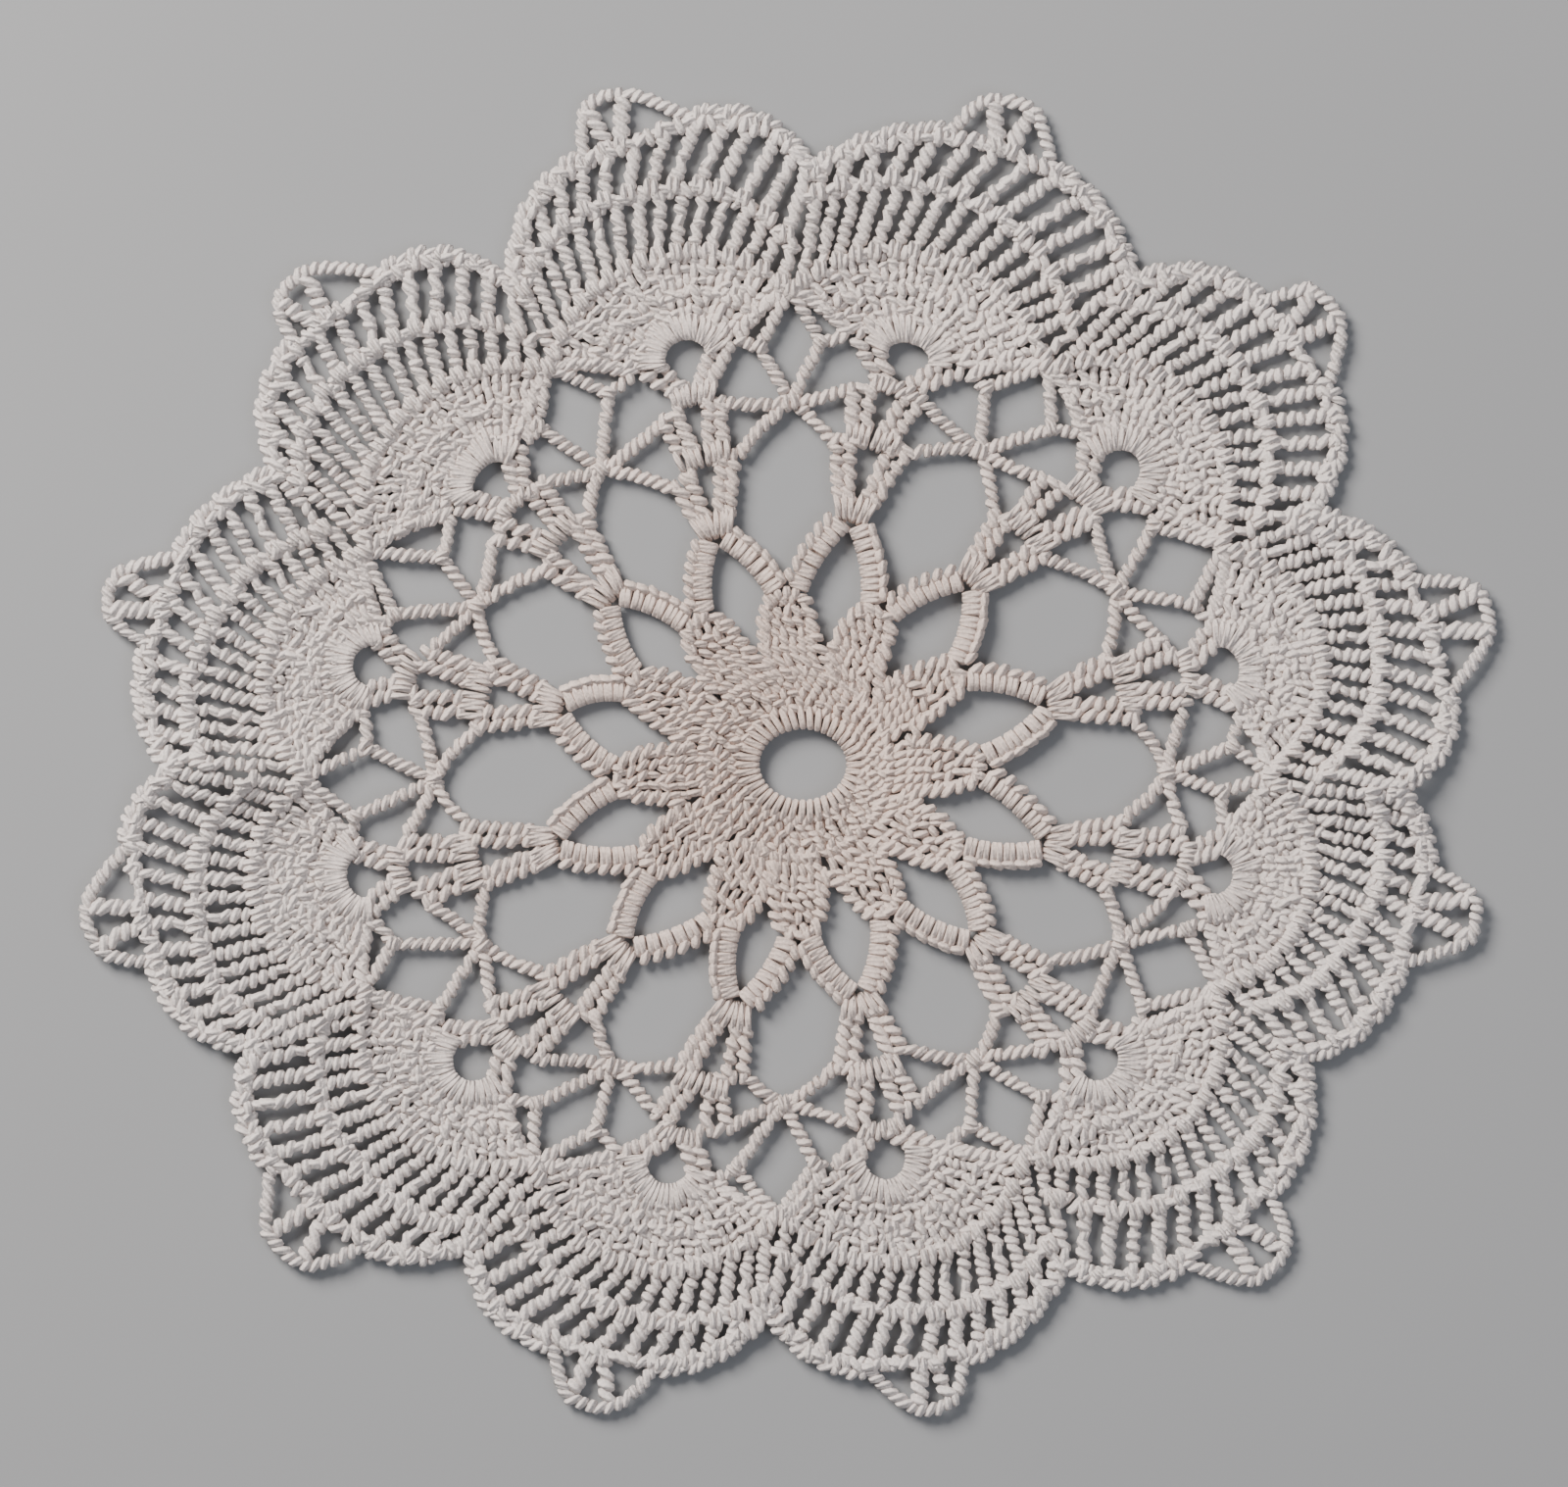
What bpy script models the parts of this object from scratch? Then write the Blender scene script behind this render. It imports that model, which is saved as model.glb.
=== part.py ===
"""A crocheted cotton doily lying flat: one thin plate with the openings of its lace cut through.

The doily is worked in the round in twelve sectors. Each sector has a column of three shells
with a fan on top, and between two sectors runs a net of chains with a petal below it.
Points are given as a turn in degrees from the middle line of a sector, or of the gap after it,
counter-clockwise, and a reach in millimetres from the middle of the doily.
"""

import math

import bpy
from mathutils import Vector
from mathutils.geometry import delaunay_2d_cdt

SECTORS = 12
STEP = 360 / SECTORS
FIRST_AXIS = 15.0
THICKNESS = 2.2
CREAM = (0.72, 0.66, 0.55, 1.0)

RING_CENTRE = (1.3, 0.0)
RING_RADII = (7.3, 5.8)
RING_SIDES = 20

CHAIN = 1.15  # half the width of a chain
STITCH = 0.9  # half the width of the strands of a shell
ARM_BOW = 0.9
PETAL_EDGE = ((21.5, 4.5), (26.0, 4.2))  # reach, half width
PETAL_TIP = (3.0, 0.6)  # half width, how far below its knot
CROTCH = 2.6
APEX_DEPTH = 3.4
FOOTS = (2.5, 5.0, 4.2)  # half the width of each shell's foot
FIRST_UP = 0.66
SLOT_COUNT = 10
SLOT_STEP = 0.14
SLOT_SHIFT = -0.05
SLOT_LEAN = 1.03
SLOT_WIDTH = 1.9
SLOT_FOOT = 0.9
SLOT_HEAD = 2.2
EDGING = 1.4
ARCHES = 4
ARCH_RISE = 0.9
ARCH_DIP = 0.1
TIP_HALF = 5.6
LEAST_GAP = 3.2
LEAST_FULL = 2.2
MILLIMETRES = 1000

# Small holes, as points to the side of and above their middles.
FIRST_HOLE = ((0.0, -2.6), (-1.3, 1.4), (1.3, 1.4))
EYELET = ((0.0, -4.0), (-1.6, -2.1), (-3.3, 0.2), (-2.2, 1.9),
          (0.0, 2.6), (2.2, 1.9), (3.3, 0.2), (1.6, -2.1))
KNOT_HOLE = ((-1.7, -0.9), (-1.1, 1.0), (1.1, 1.0), (1.7, -0.9))
KNOT_HOLE_AT = (3.6, 2.6)

# The middle line of each column of shells.
SPINES = (
    # slit_turn, slit_reach, apex_turn, apex_reach, second_turn, second_reach, third_turn, third_reach
    (-4.8, 20.6, -1.3, 44.9, -1.0, 56.8, -1.6, 68.1),
    (-7.0, 18.9, 1.1, 43.3, 0.5, 55.2, -2.2, 66.4),
    (-7.4, 17.4, 2.1, 43.2, 2.1, 55.9, 0.7, 65.8),
    (0.0, 16.0, 4.2, 41.7, 1.8, 53.8, 1.0, 64.3),
    (3.0, 19.5, 2.8, 42.6, 1.2, 55.6, 2.6, 65.2),
    (6.0, 19.3, 1.7, 41.8, 2.1, 54.3, 2.4, 67.0),
    (4.1, 22.0, 3.0, 43.6, 1.6, 57.0, 0.4, 69.1),
    (4.1, 19.7, 1.6, 42.7, 0.2, 56.6, -1.8, 67.0),
    (3.4, 18.4, 1.0, 42.4, -1.1, 55.4, -2.4, 65.6),
    (0.7, 20.3, 0.6, 41.3, -0.4, 52.6, -1.5, 63.3),
    (0.0, 19.5, 1.2, 43.2, 0.4, 55.2, 1.5, 65.6),
    (-2.5, 19.5, -2.4, 45.4, -0.8, 57.1, 0.6, 67.9),
)

# The upper corners of the three shells: the one towards the next sector, then the one before.
CORNERS = (
    # next_1, reach, before_1, reach, next_2, reach, before_2, reach, next_3, reach, before_3, reach
    (4.4, 55.6, -8.3, 58.2, 4.6, 64.7, -6.8, 66.6, 4.4, 74.2, -8.7, 75.8),
    (7.3, 54.3, -6.1, 55.0, 4.9, 63.6, -6.2, 65.2, 4.5, 74.1, -10.1, 74.3),
    (8.8, 55.1, -5.7, 56.4, 7.2, 64.0, -4.6, 64.9, 8.0, 73.3, -9.0, 72.3),
    (9.0, 50.7, -4.6, 53.2, 6.9, 61.7, -4.0, 62.4, 7.5, 71.6, -7.2, 72.7),
    (8.0, 53.8, -5.6, 55.0, 9.0, 63.4, -3.7, 63.9, 9.0, 72.2, -5.2, 71.4),
    (9.2, 54.6, -4.9, 54.4, 7.8, 64.1, -2.8, 64.9, 7.6, 74.0, -3.8, 74.3),
    (6.9, 56.5, -5.4, 56.9, 6.0, 66.3, -4.6, 67.3, 5.1, 76.3, -5.9, 76.3),
    (7.6, 55.0, -6.0, 55.7, 4.2, 66.0, -7.5, 65.5, 4.4, 74.8, -9.3, 74.4),
    (6.3, 53.4, -7.1, 54.7, 5.3, 62.1, -7.5, 63.4, 4.2, 71.6, -9.7, 72.2),
    (6.3, 51.3, -7.8, 51.6, 5.6, 60.4, -7.0, 61.4, 6.5, 69.2, -11.0, 68.4),
    (7.8, 54.4, -6.6, 54.4, 6.5, 64.9, -4.3, 63.9, 7.4, 72.9, -6.2, 72.0),
    (6.0, 56.3, -7.5, 56.8, 5.9, 66.1, -4.8, 67.1, 6.9, 73.2, -6.2, 74.8),
)

# The knots of the net after each sector, from the tip of the petal to the notch of the edge.
NET = (
    # petal, reach, low, reach, right, reach, left, reach, high, reach, notch, reach
    (-0.5, 31.7, -1.6, 61.6, -8.1, 72.5, 3.7, 72.7, -2.9, 81.2, -3.9, 97.9),
    (1.3, 29.4, -0.5, 61.4, -7.3, 71.4, 3.2, 71.4, -2.4, 79.9, -4.8, 100.6),
    (3.1, 29.0, 0.8, 61.3, -3.4, 71.6, 4.9, 71.0, 0.6, 80.5, -1.5, 101.5),
    (4.6, 29.6, 3.5, 59.8, -3.2, 70.3, 7.3, 71.9, 2.0, 79.3, 0.6, 94.4),
    (3.6, 31.0, 3.6, 60.2, -0.3, 69.4, 9.5, 72.5, 3.8, 81.4, 0.5, 101.3),
    (4.1, 30.3, 2.5, 61.2, -2.2, 72.6, 6.8, 75.2, 1.5, 83.4, 0.3, 106.0),
    (3.3, 30.2, -0.4, 61.2, -6.0, 74.6, 4.5, 73.4, -2.3, 82.6, -2.5, 103.9),
    (4.8, 29.4, -1.2, 59.6, -7.5, 72.4, 1.2, 70.6, -3.3, 81.0, -4.2, 98.4),
    (1.0, 28.9, -2.0, 57.4, -8.6, 69.2, 2.8, 67.6, -2.2, 76.4, -2.9, 93.0),
    (2.3, 29.3, 1.2, 58.4, -4.2, 67.9, 6.4, 70.0, 0.6, 77.0, -1.8, 96.6),
    (0.6, 31.1, 1.1, 62.7, -4.9, 71.6, 7.2, 71.8, 2.0, 81.0, 0.0, 99.2),
    (-0.6, 31.2, -1.3, 62.8, -3.7, 72.2, 2.4, 74.0, -1.3, 80.3, -2.3, 102.5),
)

# The tops of the four rows of each fan at its middle, the tip of its edging, and how full its
# curve is towards the sector before and the next.
FANS = (
    # first, second, third, fourth, tip_turn, tip_reach, full_before, full_next
    (84.0, 90.5, 101.0, 110.0, -2.6, 120.3, 4.6, 2.6),
    (84.0, 90.5, 100.2, 110.7, -4.3, 119.6, 3.6, 2.9),
    (82.5, 88.7, 100.0, 110.1, -3.8, 118.4, 2.6, 2.1),
    (81.5, 88.6, 100.2, 109.4, 1.2, 117.9, 3.8, 3.8),
    (81.2, 88.5, 100.0, 109.6, 1.7, 118.5, 5.0, 3.2),
    (83.2, 90.8, 101.5, 110.5, 0.6, 120.3, 3.0, 3.8),
    (85.5, 93.8, 104.5, 113.5, -2.2, 123.2, 4.0, 4.4),
    (83.2, 90.4, 100.5, 110.6, -2.0, 120.0, 3.8, 3.8),
    (82.2, 88.8, 97.0, 105.5, -3.7, 114.3, 3.8, 3.2),
    (79.5, 85.7, 95.0, 103.7, -2.8, 111.8, 3.6, 2.2),
    (82.0, 89.0, 98.8, 107.3, -1.9, 117.7, 3.8, 3.2),
    (82.5, 89.1, 99.3, 107.6, 1.9, 118.5, 3.8, 3.6),
)

# The pointed loop of the edging: degrees from its middle, its height from row 4 (0) to tip (1).
TIP = ((-5.6, 0.20), (-4.2, 0.45), (-2.9, 0.85), (-1.6, 1.0), (1.4, 1.0), (2.6, 0.9), (4.0, 0.5))
TIP_HOLES = (
    ((-4.2, 0.18), (-0.8, 0.30), (-1.0, 0.62), (-2.6, 0.52)),
    ((1.2, 0.10), (4.0, 0.14), (2.4, 0.62)),
)


def polar(turn, reach):
    """The point at this bearing in degrees and this distance in millimetres."""
    angle = math.radians(turn)
    return Vector((reach * math.cos(angle), reach * math.sin(angle)))


def points_of(axis, row):
    """The points of a row of turns and reaches measured from this axis."""
    return [polar(axis + row[i], row[i + 1]) for i in range(0, len(row), 2)]


def shifted(point, bearing, side, out=0.0):
    """The point moved sideways, counter-clockwise, and outwards from the middle."""
    outward = polar(bearing, 1.0)
    return point + Vector((-outward.y, outward.x)) * side + outward * out


def sector(k):
    """The named points of one sector."""
    k = k % SECTORS
    axis = FIRST_AXIS + STEP * k
    slit, apex, second, third = points_of(axis, SPINES[k])
    corners = points_of(axis, CORNERS[k])
    return {"axis": axis, "slit": slit, "apex": apex, "second": second, "third": third,
            "next": corners[0::2], "before": corners[1::2]}


def knots(k):
    """The named points of the net after one sector."""
    k = k % SECTORS
    line = FIRST_AXIS + STEP * (k + 0.5)
    petal, low, right, left, high, notch = points_of(line, NET[k])
    return {"line": line, "petal": petal, "low": low, "right": right, "left": left,
            "high": high, "notch": notch}


def meeting(a, along_a, b, along_b):
    """Where two lines meet, each given by a point and a direction."""
    cross = along_a.x * along_b.y - along_a.y * along_b.x
    if abs(cross) < 0.25:
        return (a + b) / 2
    gap = b - a
    return a + along_a * ((gap.x * along_b.y - gap.y * along_b.x) / cross)


def opening(sides):
    """The outline of a hole between strands: its corners counter-clockwise, each with the half
    width of the strand that starts there and how far that strand bows into the hole."""
    count = len(sides)
    lines = []
    for i, (point, half, _) in enumerate(sides):
        along = (sides[(i + 1) % count][0] - point).normalized()
        inward = Vector((-along.y, along.x))
        lines.append((point + inward * half, along, inward))
    corners = []
    for i in range(count):
        before, here = lines[i - 1], lines[i]
        end = sides[i][0] + before[2] * sides[i - 1][1]
        parallel = abs(before[1].cross(here[1])) < 0.25
        corners.append((end + here[0]) / 2 if parallel else meeting(end, before[1], here[0], here[1]))
    outline = []
    for i in range(count):
        start, end = corners[i], corners[(i + 1) % count]
        outline.append(start)
        if sides[i][2]:
            for share in (0.3, 0.7):
                bow = lines[i][2] * sides[i][2] * 4 * share * (1 - share)
                outline.append(start.lerp(end, share) + bow)
    return outline


def row_point(k, row, across):
    """A point on the top of a fan's row: across runs from -1 at the sector before to 1 at the next."""
    axis = FIRST_AXIS + STEP * k
    before, after = knots(k - 1), knots(k)
    share = (row - 1) / 3
    ends = [knot["high"].lerp(knot["notch"], share) for knot in (before, after)]
    turns = [(math.degrees(math.atan2(end.y, end.x)) - axis + 180) % 360 - 180 for end in ends]
    reaches = [end.length - (EDGING if row == 4 else 0) for end in ends]
    turn = turns[0] + (turns[1] - turns[0]) * (across + 1) / 2
    line = reaches[0] + (reaches[1] - reaches[0]) * (across + 1) / 2
    rise = FANS[k][row - 1] - sum(reaches) / 2
    full = LEAST_FULL + (FANS[k][7 if across > 0 else 6] - LEAST_FULL) * share
    return turn, line + rise * (1 - abs(across) ** full)


def across_of(k, turn):
    """The place across a fan's fourth row at this turn."""
    low, high = row_point(k, 4, -1)[0], row_point(k, 4, 1)[0]
    return 2 * (turn - low) / (high - low) - 1


def shell_holes(k):
    """The hole in the first shell of a column and the eyelet that its fan springs from."""
    here = sector(k)
    axis = here["axis"]
    first = here["apex"].lerp(here["second"], FIRST_UP)
    top = (here["next"][2] + here["before"][2]) / 2
    return [
        [shifted(first, axis, *point) for point in FIRST_HOLE],
        [shifted(top, axis, *point) for point in EYELET],
    ]


def leaf(k):
    """The leaf-shaped hole between two petals and the two arms above them."""
    here, right, left = sector(k), knots(k - 1), knots(k)
    edges = []
    for knot, side in ((right, 1), (left, -1)):
        bearing = math.degrees(math.atan2(knot["petal"].y, knot["petal"].x))
        low, high = (shifted(polar(bearing, reach), bearing, side * half) for reach, half in PETAL_EDGE)
        edges.append((low, high, shifted(knot["petal"], bearing, side * PETAL_TIP[0], -PETAL_TIP[1])))
    (right_low, right_high, right_top), (left_low, left_high, left_top) = edges
    apex = shifted(here["apex"], here["axis"], 0, -APEX_DEPTH)
    right_arm = shifted(right_top.lerp(apex, 0.5), here["axis"], -ARM_BOW)
    left_arm = shifted(left_top.lerp(apex, 0.5), here["axis"], ARM_BOW)
    return [here["slit"], right_low, right_high, right_top, right_arm, apex,
            left_arm, left_top, left_high, left_low]


def window(k):
    """The large hole above a petal, between its arms, two first shells and the net."""
    here, after, knot = sector(k), sector(k + 1), knots(k)
    line = knot["line"]
    crotch = shifted(knot["petal"], line, 0, CROTCH)
    sides = []
    for column, side, corner in ((here, -1, here["next"][0]), (after, 1, after["before"][0])):
        foot = shifted(column["apex"], line, -side * FOOTS[0], 0.6)
        arm = shifted(crotch.lerp(foot, 0.5), line, 0, ARM_BOW)
        shoulder = shifted(corner, line, -side * 0.6, -CHAIN - 0.6)
        waist = shifted(foot.lerp(shoulder, 0.5), line, side * 0.6)
        top = shifted(shoulder.lerp(knot["low"], 0.55), line, 0, 0.1)
        sides.append([arm, foot, waist, shoulder, top])
    peak = shifted(knot["low"], line, 0, -CHAIN - 0.3)
    return [crotch, *sides[0], peak, *sides[1][::-1]]


def net_holes(k):
    """The holes between the chains of the net after a sector."""
    here, after, knot = sector(k), sector(k + 1), knots(k)
    low, high, line = knot["low"], knot["high"], knot["line"]
    holes = [opening([(corner, CHAIN, 0) for corner in (low, knot["right"], high, knot["left"])])]
    for column, side, near in ((here, 1, "right"), (after, -1, "left")):
        corners = column["next"] if side > 0 else column["before"]
        second = shifted(column["second"], column["axis"], side * FOOTS[1])
        third = shifted(column["third"], column["axis"], side * FOOTS[2])
        lower = [(low, CHAIN, 0.5), (corners[0], STITCH, 0), (second, 0.1, 0), (corners[1], CHAIN, -0.5)]
        middle = [(low, CHAIN, 0.5), (corners[1], CHAIN, 0), (third, 0.2, 0), (corners[2], CHAIN, 0),
                  (knot[near], CHAIN, 0)]
        upper = [(knot[near], CHAIN, 0), (corners[2], 0.2, -1.6), (high, CHAIN, 0)]
        wide = (knot[near] - corners[2]).length > LEAST_GAP
        for loop in (lower, middle, upper) if wide else (lower, middle):
            if side > 0:
                holes.append(opening(loop))
                continue
            turned = [(loop[i][0], loop[i - 1][1], loop[i - 1][2]) for i in range(len(loop))]
            holes.append(opening(turned[::-1]))
    middle = shifted(high, line, *KNOT_HOLE_AT)
    holes.append([shifted(middle, line, *point) for point in KNOT_HOLE])
    return holes


def fan_holes(k):
    """The slots between the tall stitches of a fan's fourth row and the holes in its tip."""
    axis = FIRST_AXIS + STEP * k
    holes = []
    for i in range(SLOT_COUNT):
        across = SLOT_STEP * (i + 0.5 - SLOT_COUNT / 2) + SLOT_SHIFT
        low = polar(axis + row_point(k, 3, across * SLOT_LEAN)[0], row_point(k, 3, across)[1] + SLOT_FOOT)
        high = polar(axis + row_point(k, 4, across)[0], row_point(k, 4, across)[1] - SLOT_HEAD)
        along = (high - low).normalized()
        wide = Vector((-along.y, along.x)) * SLOT_WIDTH / 2
        middle = (low + high) / 2
        holes.append([low, middle - wide, high - wide * 0.7, high + wide * 0.7, middle + wide])
    tip_turn, tip_reach = FANS[k][4:6]
    for hole in TIP_HOLES:
        outline = []
        for turn, height in hole:
            base = row_point(k, 4, across_of(k, tip_turn + turn))[1]
            outline.append(polar(axis + tip_turn + turn, base + (tip_reach - base) * height))
        holes.append(outline[::-1])
    return holes


def outer_arches(k):
    """The outer edge of one fan: small arches up to the pointed loop and down again."""
    axis = FIRST_AXIS + STEP * k
    tip_turn, tip_reach = FANS[k][4:6]
    start, end = (across_of(k, tip_turn + turn) for turn in (-TIP_HALF, TIP_HALF))
    outline = [knots(k - 1)["notch"]]
    for first, last in ((-1.0, start), (end, 1.0)):
        for i in range(ARCHES):
            for share in (0.0, 0.3, 0.7):
                across = first + (last - first) * (i + share) / ARCHES
                if share == 0.0 and abs(across) == 1.0:
                    continue
                turn, reach = row_point(k, 4, across)
                outline.append(polar(axis + turn, reach + EDGING + (ARCH_RISE if share else -ARCH_DIP)))
        if first == -1.0:
            for turn, height in TIP:
                base = row_point(k, 4, across_of(k, tip_turn + turn))[1]
                outline.append(polar(axis + tip_turn + turn, base + (tip_reach - base) * height))
    return outline


def ring():
    """The round hole in the middle."""
    points = [polar(360 * i / RING_SIDES, 1.0) for i in range(RING_SIDES)]
    return [Vector(RING_CENTRE) + point * Vector(RING_RADII) for point in points]


def cotton():
    """Matte cream crochet cotton."""
    material = bpy.data.materials.new("crochet cotton")
    material.use_nodes = True
    shader = material.node_tree.nodes["Principled BSDF"]
    shader.inputs["Base Color"].default_value = CREAM
    shader.inputs["Roughness"].default_value = 0.9
    shader.inputs["Metallic"].default_value = 0.0
    return material


def plate(name, outline, holes):
    """A closed plate with this outline and these holes, standing on the ground plane."""
    points, faces = [], []
    for loop in (outline, *(hole[::-1] for hole in holes)):
        faces.append(list(range(len(points), len(points) + len(loop))))
        points.extend(loop)
    lows = [min(point[i] for point in outline) for i in (0, 1)]
    highs = [max(point[i] for point in outline) for i in (0, 1)]
    middle = Vector(((lows[0] + highs[0]) / 2, (lows[1] + highs[1]) / 2))
    flat = delaunay_2d_cdt([point - middle for point in points], [], faces, 2, 1e-5)
    flat_points, flat_faces = flat[0], flat[2]
    count = len(flat_points)
    vertices = [(p.x / MILLIMETRES, p.y / MILLIMETRES, z / MILLIMETRES)
                for z in (0.0, THICKNESS) for p in flat_points]
    triangles = [tuple(face[::-1]) for face in flat_faces]
    triangles += [tuple(i + count for i in face) for face in flat_faces]
    ways = {(face[i], face[(i + 1) % 3]) for face in flat_faces for i in range(3)}
    for a, b in ways:
        if (b, a) not in ways:
            triangles += [(a, b, b + count), (a, b + count, a + count)]
    mesh = bpy.data.meshes.new(name)
    mesh.from_pydata(vertices, [], triangles)
    mesh.update()
    mesh.materials.append(cotton())
    body = bpy.data.objects.new(name, mesh)
    bpy.context.scene.collection.objects.link(body)
    return body


for old in list(bpy.data.objects):
    bpy.data.objects.remove(old)

outer_edge = []
openings = [ring()]
for number in range(SECTORS):
    outer_edge += outer_arches(number)
    openings += [leaf(number), window(number)]
    openings += shell_holes(number) + net_holes(number) + fan_holes(number)
plate("doily", outer_edge, openings)
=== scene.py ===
"""A crocheted cotton doily, stitch by stitch, lying flat on a pale floor.

Places in the plane are complex numbers in millimetres, from the middle that the pattern's tables
use. A turn is in degrees counter-clockwise from the middle line of a sector, or of the gap after
it, and a reach is the distance from the middle. Every stitch is a few short, plump lengths of
yarn: lobes that overlap as the turns of a rope do, strands over a cord, and rods inside.
"""

import math

import bpy
import numpy as np
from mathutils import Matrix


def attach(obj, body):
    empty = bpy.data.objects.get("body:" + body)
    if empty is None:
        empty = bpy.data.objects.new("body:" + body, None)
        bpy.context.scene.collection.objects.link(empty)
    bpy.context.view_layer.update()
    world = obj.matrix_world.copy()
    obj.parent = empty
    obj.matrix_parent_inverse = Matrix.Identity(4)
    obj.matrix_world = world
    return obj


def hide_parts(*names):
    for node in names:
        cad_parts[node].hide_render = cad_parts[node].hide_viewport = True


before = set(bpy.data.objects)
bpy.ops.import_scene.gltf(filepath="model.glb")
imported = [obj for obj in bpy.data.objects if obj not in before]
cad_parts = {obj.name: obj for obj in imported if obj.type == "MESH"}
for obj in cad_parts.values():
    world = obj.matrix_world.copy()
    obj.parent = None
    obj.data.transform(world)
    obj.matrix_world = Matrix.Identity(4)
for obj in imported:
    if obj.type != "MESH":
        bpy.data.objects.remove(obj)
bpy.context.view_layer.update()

SECTORS = 12
STEP = 360 / SECTORS
FIRST_AXIS = 15.0
MILLIMETRE = 0.001

SIDES = 6  # faces round a strand
CHAIN_PITCH = 1.6  # millimetres of chain for each lobe
POST_PITCH = 1.95  # the same along a tall stitch
HEAD_PITCH = 1.9
CHAIN_SLANT = 31.0
LOBE_SLANT = 38.0
HEAD_SLANTS = (-38.0, 40.0, 60.0)
ROW_HEAD_SLANTS = (-50.0, -24.0, 30.0, 52.0)
BROAD = 1.18  # a lobe's width over its thickness
PLY_PITCH = 3.2  # millimetres of yarn for one turn of its plies

# The girth of a lobe from end to end; its ends tuck in under their neighbours.
LOBE = np.array((
    # place, girth
    (-1.0, 0.60),
    (-0.7, 0.88),
    (0.0, 1.00),
    (0.7, 0.88),
    (1.0, 0.60),
))

# The ring round the centre hole, and the rounds of short stitches between it and the petals.
RING_CENTRE = 1.3 + 0.0j
RING_RADII = (7.3, 5.8)
RING_STITCHES = 40
ROUND_STEP = 0.14
ROUNDS = (
    # share of the way from the ring to the petals, stitches
    (0.33, 38),
    (0.46, 42),
    (0.59, 46),
    (0.72, 50),
    (0.85, 54),
    (0.98, 58),
)
PLATE_REACH = 15.3

# A petal's rows of tall stitches, from its foot to its point, which is PETAL_TOP past the knot.
PETAL_TOP = 0.3
PETAL_ROWS = (
    # reach, half width, stitches, length of a lobe, slant
    (19.0, 4.1, 6, 2.9, 14.0),
    (23.2, 4.2, 6, 2.3, 30.0),
    (27.0, 3.6, 5, 2.3, 32.0),
    (None, 2.4, 4, 2.3, 34.0),
)

ARM_STITCHES = 6
ARM_WIDTH = 4.8
ARM_BOW = 0.9

# The middle line of each column of shells.
SPINES = np.array((
    # slit_turn, slit_reach, apex_turn, apex_reach, second_turn, second_reach, third_turn, third_reach
    (-4.8, 20.6, -1.3, 44.9, -1.0, 56.8, -1.6, 68.1),
    (-7.0, 18.9, 1.1, 43.3, 0.5, 55.2, -2.2, 66.4),
    (-7.4, 17.4, 2.1, 43.2, 2.1, 55.9, 0.7, 65.8),
    (0.0, 16.0, 4.2, 41.7, 1.8, 53.8, 1.0, 64.3),
    (3.0, 19.5, 2.8, 42.6, 1.2, 55.6, 2.6, 65.2),
    (6.0, 19.3, 1.7, 41.8, 2.1, 54.3, 2.4, 67.0),
    (4.1, 22.0, 3.0, 43.6, 1.6, 57.0, 0.4, 69.1),
    (4.1, 19.7, 1.6, 42.7, 0.2, 56.6, -1.8, 67.0),
    (3.4, 18.4, 1.0, 42.4, -1.1, 55.4, -2.4, 65.6),
    (0.7, 20.3, 0.6, 41.3, -0.4, 52.6, -1.5, 63.3),
    (0.0, 19.5, 1.2, 43.2, 0.4, 55.2, 1.5, 65.6),
    (-2.5, 19.5, -2.4, 45.4, -0.8, 57.1, 0.6, 67.9),
))

# The upper corners of the three shells: the one towards the next sector, then the one before.
CORNERS = np.array((
    # next_1, reach, before_1, reach, next_2, reach, before_2, reach, next_3, reach, before_3, reach
    (4.4, 55.6, -8.3, 58.2, 4.6, 64.7, -6.8, 66.6, 4.4, 74.2, -8.7, 75.8),
    (7.3, 54.3, -6.1, 55.0, 4.9, 63.6, -6.2, 65.2, 4.5, 74.1, -10.1, 74.3),
    (8.8, 55.1, -5.7, 56.4, 7.2, 64.0, -4.6, 64.9, 8.0, 73.3, -9.0, 72.3),
    (9.0, 50.7, -4.6, 53.2, 6.9, 61.7, -4.0, 62.4, 7.5, 71.6, -7.2, 72.7),
    (8.0, 53.8, -5.6, 55.0, 9.0, 63.4, -3.7, 63.9, 9.0, 72.2, -5.2, 71.4),
    (9.2, 54.6, -4.9, 54.4, 7.8, 64.1, -2.8, 64.9, 7.6, 74.0, -3.8, 74.3),
    (6.9, 56.5, -5.4, 56.9, 6.0, 66.3, -4.6, 67.3, 5.1, 76.3, -5.9, 76.3),
    (7.6, 55.0, -6.0, 55.7, 4.2, 66.0, -7.5, 65.5, 4.4, 74.8, -9.3, 74.4),
    (6.3, 53.4, -7.1, 54.7, 5.3, 62.1, -7.5, 63.4, 4.2, 71.6, -9.7, 72.2),
    (6.3, 51.3, -7.8, 51.6, 5.6, 60.4, -7.0, 61.4, 6.5, 69.2, -11.0, 68.4),
    (7.8, 54.4, -6.6, 54.4, 6.5, 64.9, -4.3, 63.9, 7.4, 72.9, -6.2, 72.0),
    (6.0, 56.3, -7.5, 56.8, 5.9, 66.1, -4.8, 67.1, 6.9, 73.2, -6.2, 74.8),
))

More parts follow.
